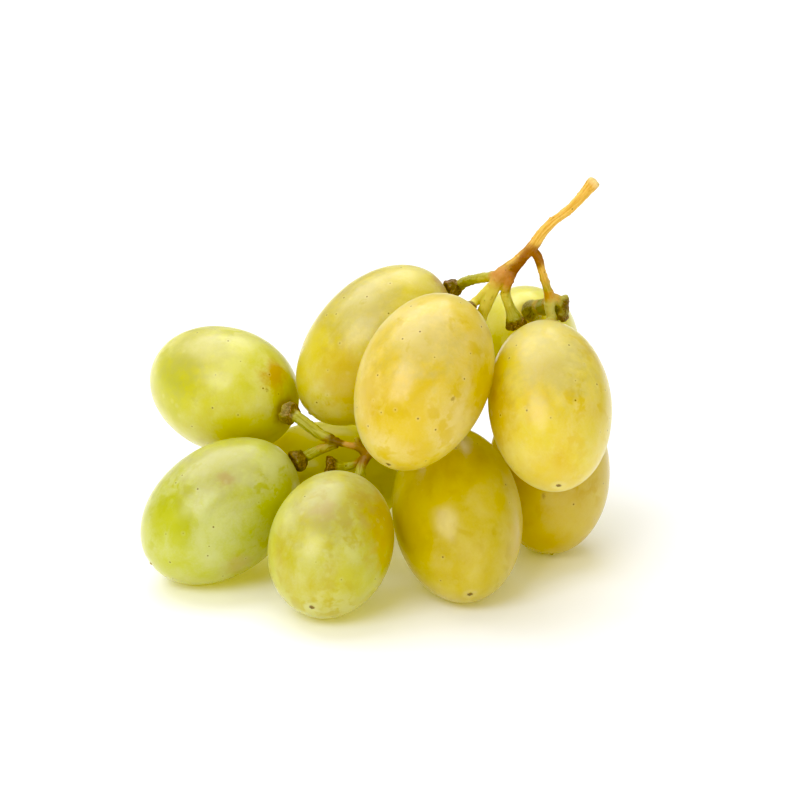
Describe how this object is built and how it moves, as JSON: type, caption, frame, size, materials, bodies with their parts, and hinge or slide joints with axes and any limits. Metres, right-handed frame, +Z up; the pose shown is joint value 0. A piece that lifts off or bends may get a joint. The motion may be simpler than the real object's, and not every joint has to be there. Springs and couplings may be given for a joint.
{
  "type": "bunch of grapes",
  "caption": "Small bunch of large oval white table grapes on a branching stalk, lying on a level surface with its cut stem end raised.",
  "frame": {"origin": "on the surface the bunch lies on, below the middle of its box", "axes": "+X along the bunch, from its small end to the end with the cut stem, +Y from its front to its back, +Z up"},
  "size_m": [0.0792, 0.072, 0.0679],
  "materials": {
    "skin_green": "satin green grape skin with a thin waxy bloom",
    "skin_gold": "satin golden grape skin with a thin waxy bloom",
    "skin_olive": "satin olive-yellow grape skin with a thin waxy bloom",
    "stalk": "matt green to ochre stalk with brown warty ends"
  },
  "bodies": {
    "root": {"berry_upper_left": "skin_green", "berry_lower_left": "skin_green", "berry_front_left": "skin_green", "berry_top_back": "skin_gold", "berry_front_middle": "skin_gold", "berry_front_right": "skin_gold", "berry_back_right": "skin_green", "berry_low_middle": "skin_olive", "berry_low_right": "skin_olive", "berry_inner_left": "skin_olive", "berry_back_middle": "skin_green", "rachis": "stalk"}
  },
  "joints": []
}
